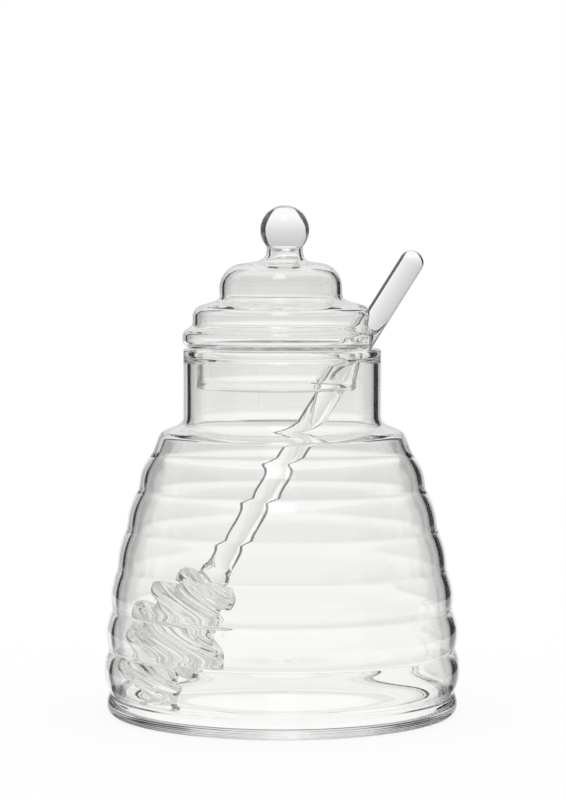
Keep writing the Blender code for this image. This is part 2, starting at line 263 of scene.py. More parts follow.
class JarSizes(bpy.types.PropertyGroup):
    neck_radius: FloatProperty(
        name="Neck radius",
        description="Outer radius of the straight neck",
        default=29.05 * MM,
        unit="LENGTH",
    )
    shoulder_radius: FloatProperty(
        name="Shoulder radius",
        description="Radius at the corner where the hive turns in to the shoulder",
        default=35.8 * MM,
        unit="LENGTH",
    )
    hive_top: FloatProperty(
        name="Hive top",
        description="Height of the uppermost valley between ribs",
        default=76.9 * MM,
        unit="LENGTH",
    )
    hive_taper: FloatProperty(
        name="Hive taper",
        description="How much narrower the hive is at its top than at its widest",
        default=13.0 * MM,
        unit="LENGTH",
    )
    foot_height: FloatProperty(
        name="Foot height",
        description="Height of the lowest valley, above which the ribs begin",
        default=6.5 * MM,
        unit="LENGTH",
    )
    rib_depth: FloatProperty(
        name="Rib depth",
        description="Depth of the deepest valley between ribs",
        default=1.8 * MM,
        unit="LENGTH",
    )
    wall: FloatProperty(
        name="Wall",
        description="Thickness of the jar's wall",
        default=2.1 * MM,
        unit="LENGTH",
    )
    floor: FloatProperty(
        name="Floor",
        description="Thickness of the jar's floor",
        default=2.4 * MM,
        unit="LENGTH",
    )
    segments: IntProperty(
        name="Segments",
        description="Facets round the jar",
        default=256,
        min=64,
    )


class LidSizes(bpy.types.PropertyGroup):
    wall: FloatProperty(
        name="Wall",
        description="Thickness of the lid's glass",
        default=1.4 * MM,
        unit="LENGTH",
    )
    skirt_clearance: FloatProperty(
        name="Skirt clearance",
        description="Gap between the lid's skirt and the inside of the jar's rim",
        default=1.0 * MM,
        unit="LENGTH",
    )
    skirt_depth: FloatProperty(
        name="Skirt depth",
        description="How far the skirt reaches down into the neck",
        default=11.6 * MM,
        unit="LENGTH",
    )
    flange_height: FloatProperty(
        name="Flange height",
        description="Height of the flange's upper face at its edge, above the rim",
        default=4.9 * MM,
        unit="LENGTH",
    )
    tier_top: FloatProperty(
        name="Tier top",
        description="Height of the second tier's shoulder above the rim",
        default=12.0 * MM,
        unit="LENGTH",
    )
    dome_radius: FloatProperty(
        name="Dome radius",
        description="Outer radius of the dome",
        default=18.0 * MM,
        unit="LENGTH",
    )
    dome_top: FloatProperty(
        name="Dome top",
        description="Height of the dome's shoulder above the rim",
        default=24.1 * MM,
        unit="LENGTH",
    )
    collar_radius: FloatProperty(
        name="Collar radius",
        description="Radius of the collar under the ball",
        default=5.3 * MM,
        unit="LENGTH",
    )
    knob_radius: FloatProperty(
        name="Knob radius",
        description="Radius of the ball knob",
        default=7.2 * MM,
        unit="LENGTH",
    )
    notch_width: FloatProperty(
        name="Notch width",
        description="Half the width of the notch for the handle, as a share of its depth and radius",
        default=0.78,
        min=0.4,
        max=1.2,
        subtype="FACTOR",
    )
    notch_clearance: FloatProperty(
        name="Notch clearance",
        description="Gap between the notch and the handle",
        default=0.9 * MM,
        unit="LENGTH",
    )
    segments: IntProperty(
        name="Segments",
        description="Facets round the lid",
        default=288,
        min=64,
    )


class DipperSizes(bpy.types.PropertyGroup):
    handle_radius: FloatProperty(
        name="Handle radius",
        description="Radius of the rod",
        default=3.6 * MM,
        unit="LENGTH",
    )
    handle_length: FloatProperty(
        name="Handle length",
        description="Length of the rod from the head to its tip",
        default=111.3 * MM,
        unit="LENGTH",
    )
    ring_pitch: FloatProperty(
        name="Ring pitch",
        description="Distance between the middles of neighbouring rings",
        default=7.9 * MM,
        unit="LENGTH",
    )
    largest_ring_radius: FloatProperty(
        name="Largest ring radius",
        description="Radius of the middle ring",
        default=15.6 * MM,
        unit="LENGTH",
    )
    ring_half_thickness: FloatProperty(
        name="Ring half thickness",
        description="Half the thickness of each ring",
        default=2.4 * MM,
        unit="LENGTH",
    )
    segments: IntProperty(
        name="Segments",
        description="Facets round the dipper",
        default=128,
        min=32,
    )


class GlassFinish(bpy.types.PropertyGroup):
    tint: FloatVectorProperty(
        name="Tint",
        description="Colour that the glass gives to what is seen through it",
        default=linear("FFFFFE"),
        subtype="COLOR",
        min=0.0,
        max=1.0,
    )
    roughness: FloatProperty(
        name="Roughness",
        description="Roughness of the fire-polished surface",
        default=0.0,
        min=0.0,
        max=1.0,
        subtype="FACTOR",
    )
    ior: FloatProperty(
        name="IOR",
        description="Index of refraction of borosilicate glass",
        default=1.473,
        min=1.0,
    )
    wave_length: FloatProperty(
        name="Wave length",
        description="Distance between the slow waves that blowing leaves in the surface",
        default=17.0 * MM,
        unit="LENGTH",
    )
    wave_height: FloatProperty(
        name="Wave height",
        description="Height of those waves",
        default=0.035 * MM,
        unit="LENGTH",
    )
    cord_pitch: FloatProperty(
        name="Cord pitch",
        description="Distance between the fine lines that winding leaves in the dipper's head",
        default=1.4 * MM,
        unit="LENGTH",
    )
    cord_height: FloatProperty(
        name="Cord height",
        description="Height of those lines",
        default=0.014 * MM,
        unit="LENGTH",
    )


class StudioSettings(bpy.types.PropertyGroup):
    sweep_light: FloatProperty(
        name="Sweep light",
        description="Brightness of the paper sweep, as the glass shows it",
        default=1.0,
        min=0.0,
    )
    top_light: FloatProperty(
        name="Top light",
        description="Brightness that the glass sees overhead",
        default=0.9,
        min=0.0,
    )
    window_light: FloatProperty(
        name="Window light",
        description="Brightness of the softbox in front, as the glass reflects it",
        default=2.5,
        min=0.0,
    )
    flag_dark: FloatProperty(
        name="Flag darkness",
        description="How much of the light the black flags at either side take away",
        default=0.97,
        min=0.0,
        max=1.0,
        subtype="FACTOR",
    )
    floor_shadow: FloatProperty(
        name="Floor shadow",
        description="How much of the floor's brightness comes from light that the pot can shade",
        default=0.12,
        min=0.0,
        max=1.0,
        subtype="FACTOR",
    )
    eye_distance: FloatProperty(
        name="Eye distance",
        description="Distance of the camera from the pot's centre line",
        default=850.0 * MM,
        unit="LENGTH",
    )
    eye_height: FloatProperty(
        name="Eye height",
        description="Height of the camera above the table",
        default=139.0 * MM,
        unit="LENGTH",
    )
    eye_aside: FloatProperty(
        name="Eye aside",
        description="How far the camera stands to the right of the pot's centre line",
        default=0.24 * MM,
        unit="LENGTH",
    )
    eye_pitch: FloatProperty(
        name="Eye pitch",
        description="How far the camera looks down",
        default=math.radians(3.15),
        subtype="ANGLE",
    )


class HoneyPotSettings(bpy.types.PropertyGroup):
    jar: PointerProperty(type=JarSizes, name="Jar", description="Sizes of the jar")
    lid: PointerProperty(type=LidSizes, name="Lid", description="Sizes of the lid")
    dipper: PointerProperty(type=DipperSizes, name="Dipper", description="Sizes of the dipper")
    glass: PointerProperty(type=GlassFinish, name="Glass", description="Finish of the glass")
    studio: PointerProperty(type=StudioSettings, name="Studio", description="Light and camera")


# Outlines (r, z) and the meshes turned from them

def arc(centre, radius, start, end, steps):
    """Points of a circle's arc, angles in radians from +r towards +z, both ends included."""
    places = [start + (end - start) * i / steps for i in range(steps + 1)]
    return [(centre[0] + radius * math.cos(a), centre[1] + radius * math.sin(a)) for a in places]


def rounded(corners, steps=ROUND_STEPS):
    """An outline through corners (r, z, fillet radius), each corner rounded by its fillet."""
    outline = []
    for i, (r, z, radius) in enumerate(corners):
        here = Vector((r, z))
        if not radius or i in (0, len(corners) - 1):
            outline.append((r, z))
            continue
        back = (Vector(corners[i - 1][:2]) - here).normalized()
        ahead = (Vector(corners[i + 1][:2]) - here).normalized()
        half = back.angle(ahead) / 2
        reach = radius / math.tan(half)
        centre = here + (back + ahead).normalized() * (radius / math.sin(half))
        first = here + back * reach - centre
        last = here + ahead * reach - centre
        start = math.atan2(first.y, first.x)
        turn = math.atan2(first.x * last.y - first.y * last.x, first.dot(last))
        outline += arc(centre, radius, start, start + turn, steps)
    return outline


def inset(outline, wall):
    """The outline moved sideways by a wall's thickness, to the left of its direction of travel."""
    moved = []
    for i, here in enumerate(outline):
        before = Vector(outline[max(i - 1, 0)])
        after = Vector(outline[min(i + 1, len(outline) - 1)])
        along = (after - before).normalized()
        moved.append((here[0] - along.y * wall, here[1] + along.x * wall))
    return moved


def spaced(outline, gap):
    """The outline with points added, so that no two neighbours lie further apart than the gap."""
    filled = [outline[0]]
    for before, after in zip(outline, outline[1:]):
        span = Vector(after) - Vector(before)
        count = max(1, math.ceil(span.length / gap))
        filled += [tuple(Vector(before) + span * i / count) for i in range(1, count)] + [after]
    return filled


def turned(name, outline, segments, shaped=None):
    """A smooth closed mesh turned about Z from an outline that starts and ends on the axis and runs
    up its outer side. shaped, if given, moves each corner of each numbered outline point."""
    corners = []
    rings = []
    for number, (r, z) in enumerate(outline):
        turns = segments if r else 1
        rings.append((len(corners), turns))
        for turn in range(turns):
            angle = math.tau * turn / segments
            corner = Vector((r * math.cos(angle), r * math.sin(angle), z))
            if shaped:
                shaped(corner, number)
            corners.append(corner)
    faces = []
    for (low, low_turns), (high, high_turns) in zip(rings, rings[1:]):
        for turn in range(segments):
            face = (
                low + turn % low_turns,
                low + (turn + 1) % low_turns,
                high + (turn + 1) % high_turns,
                high + turn % high_turns,
            )
            faces.append(tuple(dict.fromkeys(face)))
    mesh = bpy.data.meshes.new(name)
    mesh.from_pydata(corners, [], faces)
    mesh.shade_smooth()
    return mesh


def place_piece(mesh, material, body, nodes):
    """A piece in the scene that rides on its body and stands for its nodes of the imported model."""
    made = bpy.data.objects.new(mesh.name, mesh)
    bpy.context.scene.collection.objects.link(made)
    mesh.materials.append(material)
    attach(made, body)
    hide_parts(*nodes)
    return made


def valley_heights(jar):
    """The heights of the valleys between ribs, from the lowest up."""
    mean = (jar.hive_top - jar.foot_height) / sum(RIB_HEIGHT_SHARES)
    heights = [jar.foot_height]
    for share in RIB_HEIGHT_SHARES:
        heights.append(heights[-1] + mean * share)
    return heights


def hive_curve(jar, z):
    """The radius of the smooth curve that touches every rib."""
    rise = max(z - WIDEST_HEIGHT, 0.0) / (jar.hive_top - WIDEST_HEIGHT)
    return HIVE_RADIUS - jar.hive_taper * rise**TAPER_POWER


def rib_wave(t, soft):
    """0 in the valley at either end of a band, 1 on its crest, with valleys this soft."""
    peak = math.hypot(1.0, soft) - soft
    return (math.hypot(math.sin(math.pi * t), soft) - soft) / peak


def hive_outline(jar, depth_share, soft):
    """The hive from its lowest valley up, with valleys this share as deep and this soft."""
    heights = valley_heights(jar)
    outline = []
    for band, (low, high) in enumerate(zip(heights, heights[1:])):
        for step in range(RIB_STEPS):
            t = step / RIB_STEPS
            z = low + (high - low) * t
            deep = RIB_DEPTH_SHARES[band] * (1.0 - t) + RIB_DEPTH_SHARES[band + 1] * t
            r = hive_curve(jar, z) - jar.rib_depth * depth_share * deep * (1.0 - rib_wave(t, soft))
            outline.append((r, z))
    top = hive_curve(jar, jar.hive_top) - jar.rib_depth * depth_share * RIB_DEPTH_SHARES[-1]
    outline.append((top, jar.hive_top))
    return outline


def jar_sides(jar, depth_share, soft):
    """The jar's side from its lowest valley to the top of the straight neck."""
    hive = hive_outline(jar, depth_share, soft)
    shoulder = RIM_HEIGHT - SHOULDER_DROP
    return hive[:-1] + rounded(
        [
            (*hive[-1], 0.0),
            (jar.shoulder_radius, shoulder, SHOULDER_FILLET),
            (jar.neck_radius, shoulder + SHOULDER_RISE, NECK_FILLET),
            (jar.neck_radius, RIM_HEIGHT - RIM_BAND, 0.0),
        ]
    )


def jar_foot(jar):
    """The foot from the centre of the flat tread to just under the lowest valley."""
    tread = HIVE_RADIUS - FOOT_TREAD_SET_IN
    foot = HIVE_RADIUS - FOOT_SET_IN
    quarter = [math.pi / 2 * i / RIM_STEPS for i in range(RIM_STEPS + 1)]
    lower = [
        (tread + (foot - tread) * math.sin(a), FOOT_ROUND * (1.0 - math.cos(a))) for a in quarter
    ]
    valley = hive_outline(jar, 1.0, VALLEY_SOFT_SHARE)[0][0]
    upper_rise = jar.foot_height - FOOT_ROUND
    upper = [
        (foot - (foot - valley) * t * t, FOOT_ROUND + upper_rise * t)
        for t in (i / ROUND_STEPS for i in range(1, ROUND_STEPS))
    ]
    return [(0.0, 0.0)] + lower + upper


def jar_outline(jar):
    """Up the outside, over the rim, and down the inside to the floor's centre."""
    outside = jar_sides(jar, 1.0, VALLEY_SOFT_SHARE)
    outer_centre = (jar.neck_radius - RIM_OUTER_ROUND, RIM_HEIGHT - RIM_OUTER_ROUND)
    inner_centre = (jar.neck_radius - RIM_WIDTH + RIM_INNER_ROUND, RIM_HEIGHT - RIM_INNER_ROUND)
    rim = arc(outer_centre, RIM_OUTER_ROUND, 0.0, math.pi / 2, ROUND_STEPS)
    rim += arc(inner_centre, RIM_INNER_ROUND, math.pi / 2, math.pi, ROUND_STEPS)
    rim.append((jar.neck_radius - RIM_WIDTH, RIM_HEIGHT - RIM_BAND + RIM_STEP))
    inside = inset(jar_sides(jar, INNER_RIB_SHARE, INNER_VALLEY_SOFT_SHARE), jar.wall)
    start = next(i for i, (_, z) in enumerate(inside) if z > jar.floor + FLOOR_FILLET)
    floor_corner = rounded(
        [
            (*inside[start], 0.0),
            (inside[0][0], jar.floor, FLOOR_FILLET),
            (0.0, jar.floor, 0.0),
        ],
        RIM_STEPS,
    )
    return jar_foot(jar) + outside[:-1] + rim + inside[:start:-1] + floor_corner


def lid_sides(jar, lid):
    """The lid's outside from the top of its collar to the straight part of its skirt."""
    flange = jar.neck_radius + FLANGE_OVERHANG
    tier = flange - TIER_SET_IN
    skirt = jar.neck_radius - RIM_WIDTH - lid.skirt_clearance
    seat_slope = (flange - skirt) * SEAT_SLOPE_SHARE
    return rounded(
        [
            (lid.collar_radius, COLLAR_TOP, 0.0),
            (lid.collar_radius, lid.dome_top + DOME_RISE, COLLAR_FILLET),
            (lid.dome_radius, lid.dome_top, DOME_ROUND),
            (lid.dome_radius, lid.tier_top + TIER_FALL, DOME_FOOT_FILLET),
            (tier, lid.tier_top, TIER_ROUND),
            (tier, lid.flange_height + FLANGE_FALL, TIER_FOOT_FILLET),
            (flange, lid.flange_height, FLANGE_UPPER_ROUND),
            (flange, SEAT_GAP + seat_slope, FLANGE_LOWER_ROUND),
            (skirt, SEAT_GAP - seat_slope, SKIRT_FILLET),
            (skirt, -lid.skirt_depth + 2 * SKIRT_LIP_RADIUS, 0.0),
        ]
    )


def lid_section(jar, lid):
    """The lid's glass from under its collar down the inside, round the lip and up the outside to the
    ball's top, and how far each point lies behind the outside."""
    outside = lid_sides(jar, lid)
    skirt = outside[-1][0]
    inside = inset(outside, -lid.wall)[:0:-1]
    ball_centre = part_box("lid_knob")[1].z - RIM_HEIGHT - lid.knob_radius
    weld = -math.acos(lid.collar_radius / lid.knob_radius)
    ball = arc((0.0, ball_centre), lid.knob_radius, math.pi / 2, weld, BALL_STEPS)
    ball[0] = (0.0, ball[0][1])
    lip_centre = (skirt - lid.wall / 2, -lid.skirt_depth + SKIRT_LIP_RADIUS)
    lip = arc(lip_centre, SKIRT_LIP_RADIUS, 0.0, -math.pi, RIM_STEPS)
    bore = lid.collar_radius - lid.wall
    cap = COLLAR_TOP - COLLAR_CAP
    roof = rounded(
        [(*inside[-1], 0.0), (bore, cap, bore * BORE_ROUND_SHARE), (0.0, cap, 0.0)]
    )[1:]
    front = spaced(ball + outside[1:], FINE_GAP)
    back = spaced(inside + roof, FINE_GAP)
    behind = [0.0] * len(front) + [skirt - r for r, _ in lip] + [lid.wall] * len(back)
    return (front + lip + back)[::-1], behind[::-1]


def notched(co, behind, lid, dipper):
    """Pushes a point of the lid in at +X, so that the glass follows the dipper's handle. The deeper
    the dent, the wider it is, as where a round tool is pressed in."""
    foot, axis = joint_line("dipper_slide")
    handle_x = foot.x + (co.z + RIM_HEIGHT - foot.z) * axis.x / axis.z
    wall_x = handle_x - dipper.handle_radius / axis.z - lid.notch_clearance
    radius = math.hypot(co.x, co.y) + behind
    depth = max(radius - wall_x, 0.0)
    half_width = lid.notch_width * math.sqrt(depth * radius)
    if co.x > 0.0 and abs(co.y) < half_width:
        co.x -= depth * (1.0 - (co.y / half_width) ** 2) ** 2


def leaned(co):
    """Sets a point of the lid aside by the little that the hand left at its height."""
    aside = LEAN_STOPS[0][1]
    for (low, low_aside), (high, high_aside) in zip(LEAN_STOPS, LEAN_STOPS[1:]):
        t = min(max((co.z - low) / (high - low), 0.0), 1.0)
        aside += (high_aside - low_aside) * t * t * (3.0 - 2.0 * t)
    co.x += aside


def dipper_outline(dipper):
    """The whole dipper, from the rounded end of its head to the round tip of its handle."""
    largest = dipper.largest_ring_radius
    rings = [(dipper.ring_pitch * i, largest * share) for i, share in enumerate(RING_RADIUS_SHARES)]
    half = dipper.ring_half_thickness
    groove = dipper.ring_pitch - 2 * half
    cores = [min(a[1], b[1]) * RING_CORE_SHARE for a, b in zip(rings, rings[1:])]
    neck = dipper.handle_radius + HANDLE_FOOT_FLARE
    cores = [rings[0][1] * RING_CORE_SHARE] + cores + [neck]
    corners = [(0.0, -half - HEAD_END, 0.0), (cores[0], -half - HEAD_END, HEAD_END)]
    for (along, radius), below, above in zip(rings, cores, cores[1:]):
        edge_round = min(half, (radius - below) / 2) * RING_EDGE_SHARE
        root_round = min(groove, radius - below) / 2 * RING_ROOT_SHARE
        if along:
            corners.append((below, along - half, root_round))
        corners.append((radius, along - half, edge_round))
        edge_round = min(half, (radius - above) / 2) * RING_EDGE_SHARE
        root_round = min(groove, radius - above) / 2 * RING_ROOT_SHARE
        corners.append((radius, along + half, edge_round))
        corners.append((above, along + half, root_round))
    foot = rings[-1][0] + half + HEAD_NECK_LENGTH + SEAT_GAP
    tip = foot + dipper.handle_length - dipper.handle_radius
    flare = [
        (dipper.handle_radius + HANDLE_FOOT_FLARE * (1.0 - t) ** 2, foot + HANDLE_FOOT_LENGTH * t)
        for t in (i / ROUND_STEPS for i in range(ROUND_STEPS + 1))
    ]
    corners.append((*flare[0], 0.0))
    end = arc((0.0, tip), dipper.handle_radius, 0.0, math.pi / 2, RIM_STEPS)
    end[-1] = (0.0, end[-1][1])
    return spaced(rounded(corners) + flare[1:] + end, FINE_GAP)


# Materials

def add_node(tree, kind, inputs=None, **settings):
    """A node with its settings, and its inputs set to values or linked to other nodes' outputs."""
    made = tree.nodes.new(kind)
    for name, value in settings.items():
        setattr(made, name, value)
    for name, value in (inputs or {}).items():
        if isinstance(value, bpy.types.NodeSocket):
            tree.links.new(value, made.inputs[name])
        else:
            made.inputs[name].default_value = value
    return made


def clear_glass(name, glass):
    """Borosilicate glass, and its shader for a bump to be linked to."""
    material = bpy.data.materials.new(name)
    material.use_nodes = True
    shader = material.node_tree.nodes["Principled BSDF"]
    shader.inputs["Base Color"].default_value = (*glass.tint, 1.0)
    shader.inputs["Roughness"].default_value = glass.roughness
    shader.inputs["IOR"].default_value = glass.ior
    shader.inputs["Transmission Weight"].default_value = 1.0
    return material, shader


def blown_borosilicate(name, glass):
    """Blown borosilicate glass: colourless and fire-polished, with slow waves in its surface that
    make what lies behind swim a little."""
    material, shader = clear_glass(name, glass)
    tree = material.node_tree
    place = add_node(tree, "ShaderNodeTexCoord").outputs["Object"]
    waves = add_node(
        tree,
        "ShaderNodeTexNoise",
        {
            "Vector": place,
            "Scale": 1.0 / glass.wave_length,
            "Detail": WAVE_DETAIL,
            "Roughness": WAVE_ROUGHNESS,
        },
    )
    bump = add_node(
        tree,
        "ShaderNodeBump",
        {"Height": waves.outputs["Fac"], "Distance": glass.wave_height, "Strength": 1.0},
    )
    tree.links.new(bump.outputs["Normal"], shader.inputs["Normal"])
    return material


def wound_borosilicate(name, glass, foot, leaning):
    """Borosilicate rod wound at the lamp: clear, with fine cords round the head where each turn of
    hot glass lies on the last, drawn coarse enough to show."""
    material, shader = clear_glass(name, glass)
    tree = material.node_tree
    upright = add_node(
        tree,
        "ShaderNodeMapping",
        {
            "Vector": add_node(tree, "ShaderNodeTexCoord").outputs["Object"],
            "Location": foot,
            "Rotation": leaning.to_euler(),
        },
        vector_type="TEXTURE",
    )
    place = upright.outputs["Vector"]
    cords = add_node(
        tree,
        "ShaderNodeTexWave",
        {
            "Vector": place,
            "Scale": 1.0 / (glass.cord_pitch * WAVES_PER_UNIT),
            "Distortion": CORD_WANDER,
            "Detail": CORD_DETAIL,
            "Detail Scale": CORD_DETAIL_SCALE,
        },
        wave_type="RINGS",
        rings_direction="Z",
    )
    along = add_node(tree, "ShaderNodeSeparateXYZ", {"Vector": place}).outputs["Z"]
    on_head = add_node(
        tree,
        "ShaderNodeMapRange",
        {
            "Value": along,
            "From Min": HEAD_TOP - HEAD_FADE,
            "From Max": HEAD_TOP,
            "To Min": 1.0,
            "To Max": 0.0,
        },
    )
    height = add_node(
        tree,
        "ShaderNodeMath",
        {0: cords.outputs["Fac"], 1: on_head.outputs["Result"]},
        operation="MULTIPLY",
    )
    bump = add_node(
        tree,
        "ShaderNodeBump",
        {"Height": height.outputs["Value"], "Distance": glass.cord_height, "Strength": 1.0},
    )
    tree.links.new(bump.outputs["Normal"], shader.inputs["Normal"])
    return material


class HONEY_POT_OT_jar(bpy.types.Operator):
    """Blow the ribbed jar"""

    bl_idname = "honey_pot.jar"
    bl_label = "Jar"

    def execute(self, context):
        pot = context.scene.honey_pot
        mesh = turned("jar", spaced(jar_outline(pot.jar), FINE_GAP), pot.jar.segments)
        material = blown_borosilicate("mould_blown_borosilicate_glass", pot.glass)
        place_piece(mesh, material, "jar", ["jar_body"])
        return {"FINISHED"}


class HONEY_POT_OT_lid(bpy.types.Operator):
    """Blow the stepped lid and weld on its ball knob"""

    bl_idname = "honey_pot.lid"
    bl_label = "Lid"

    def execute(self, context):
        pot = context.scene.honey_pot
        section, behind = lid_section(pot.jar, pot.lid)

        def pressed(co, number):
            notched(co, behind[number], pot.lid, pot.dipper)
            leaned(co)

        mesh = turned("lid", section, pot.lid.segments, pressed)
        mesh.transform(Matrix.Translation((0.0, 0.0, RIM_HEIGHT)))
        material = blown_borosilicate("blown_borosilicate_glass", pot.glass)
        place_piece(mesh, material, "lid", ["lid_shell", "lid_knob"])
        return {"FINISHED"}


class HONEY_POT_OT_dipper(bpy.types.Operator):
    """Wind the dipper's head and draw its handle"""

    bl_idname = "honey_pot.dipper"
    bl_label = "Dipper"

    def execute(self, context):
        pot = context.scene.honey_pot
        foot, axis = joint_line("dipper_slide")
        leaning = axis.to_track_quat("Z", "Y").to_matrix().to_4x4()
        mesh = turned("dipper", dipper_outline(pot.dipper), pot.dipper.segments)
        mesh.transform(Matrix.Translation(foot) @ leaning)
        material = wound_borosilicate("lampworked_borosilicate_glass", pot.glass, foot, leaning)
        place_piece(mesh, material, "dipper", ["dipper_head", "dipper_handle"])
        return {"FINISHED"}


# Studio: what the glass sees round it

def ramp(tree, value, start, end, low=0.0, high=1.0):
    """A smooth change from low to high as the value goes from start to end."""
    return add_node(
        tree,
        "ShaderNodeMapRange",
        {"Value": value, "From Min": start, "From Max": end, "To Min": low, "To Max": high},
        interpolation_type="SMOOTHSTEP",
    ).outputs["Result"]


def combine(tree, operation, first, second=0.0):
    """The result of a sum or a comparison of one or two values."""
    made = add_node(tree, "ShaderNodeMath", {0: first, 1: second}, operation=operation)
    return made.outputs["Value"]


def patch(tree, aside, above, start, end, foot, top, soft):
    """1 between two directions and two heights in the surround, 0 outside them."""
    parts = [
        ramp(tree, aside, combine(tree, "SUBTRACT", start, soft), start),
        ramp(tree, aside, end, combine(tree, "SUBTRACT", end, soft)),
        ramp(tree, above, foot, combine(tree, "ADD", foot, soft)),
        ramp(tree, above, top, combine(tree, "SUBTRACT", top, soft)),
    ]
    result = parts[0]
    for part in parts[1:]:
        result = combine(tree, "MULTIPLY", result, part)
    return result


def sweep(tree, above, stops):
    """The brightness of the paper sweep at a height, from stops of height and brightness."""
    low, high = stops[0][0], stops[-1][0]
    place = add_node(tree, "ShaderNodeMapRange", {"Value": above, "From Min": low, "From Max": high})
    shades = add_node(tree, "ShaderNodeValToRGB", {"Fac": place.outputs["Result"]})
    shades.color_ramp.interpolation = "CARDINAL"
    for height, _ in stops[1:-1]:
        shades.color_ramp.elements.new((height - low) / (high - low))
    for point, (_, brightness) in zip(shades.color_ramp.elements, stops):
        point.color = (brightness, brightness, brightness, 1.0)
    return shades.outputs["Color"]


def mix(tree, factor, first, second):
    """The first value where the factor is 0, the second where it is 1."""
    return add_node(tree, "ShaderNodeMix", {0: factor, 2: first, 3: second}).outputs[0]


def flag_shade(tree, right, above, past_walls, sheltered, path):
    """How dark the black flags at either side of the pot are in a direction, from 0 to 1."""
    # An upright wall mirrors what lies a little below the horizon: a gap there keeps its sides clear
    gap = combine(
        tree,
        "MULTIPLY",
        ramp(tree, above, FLAG_GAP[0] - FLAG_SOFT, FLAG_GAP[0]),
        ramp(tree, above, FLAG_GAP[1] + FLAG_SOFT, FLAG_GAP[1]),
    )
    mirror = path["Is Reflection Ray"]
    mirrored = combine(tree, "MULTIPLY", mirror, combine(tree, "SUBTRACT", 1.0, gap))
    seen = combine(tree, "MAXIMUM", path["Is Transmission Ray"], mirrored)
    # Light that turned back once or twice between the surfaces of a wall shows the flags as a dark
    # line along it; light that went straight on through whole walls misses them, so that the pot
    # stays clear from every side
    twice = combine(tree, "COMPARE", path["Ray Depth"], SECOND_BOUNCE_DEPTH)
    in_wall = combine(tree, "MAXIMUM", past_walls, twice)
    crossed = combine(tree, "MODULO", path["Ray Depth"], SURFACES_OF_TWO_WALLS)
    through = combine(tree, "COMPARE", crossed, STRAIGHT_THROUGH)
    seen = combine(tree, "MULTIPLY", seen, combine(tree, "SUBTRACT", 1.0, through))
    end = mix(tree, in_wall, FLAG_END, WALL_FLAG_END)
    foot = mix(tree, in_wall, FLAG_FOOT, WALL_FLAG_FOOT)
    top = mix(tree, in_wall, FLAG_TOP, WALL_FLAG_TOP)
    top = mix(tree, mirror, top, MIRRORED_FLAG_TOP)
    sides = []
    for turn, solid_starts, wall_starts in (
        (1.0, RIGHT_FLAG_STARTS, RIGHT_WALL_FLAG_STARTS),
        (-1.0, LEFT_FLAG_STARTS, LEFT_WALL_FLAG_STARTS),
    ):
        aside = combine(tree, "MULTIPLY", right, turn)
        low, middle, high = solid_starts
        solid_start = combine(
            tree,
            "ADD",
            ramp(tree, above, *FLAG_HEIGHTS[:2], low, middle),
            ramp(tree, above, *FLAG_HEIGHTS[1:], 0.0, high - middle),
        )
        solid_start = mix(tree, sheltered, solid_start, SHELTERED_FLAG_START)
        solid_start = mix(tree, mirror, solid_start, MIRRORED_FLAG_START)
        wall_start = combine(
            tree,
            "SUBTRACT",
            ramp(tree, above, *WALL_FLAG_HEIGHTS, *wall_starts),
            combine(tree, "MULTIPLY", twice, TURN_OF_SECOND_BOUNCE),
        )
        start = mix(tree, in_wall, solid_start, wall_start)
        sides.append(patch(tree, aside, above, start, end, foot, top, FLAG_SOFT))
        near = patch(tree, aside, above, *NEAR_FLAG, NEAR_FLAG_FOOT, NEAR_FLAG_TOP, NEAR_FLAG_SOFT)
        sides.append(combine(tree, "MULTIPLY", near, NEAR_FLAG_SHARE))
    shade = sides[0]
    for side in sides[1:]:
        shade = combine(tree, "MAXIMUM", shade, side)
    return combine(tree, "MULTIPLY", shade, seen)


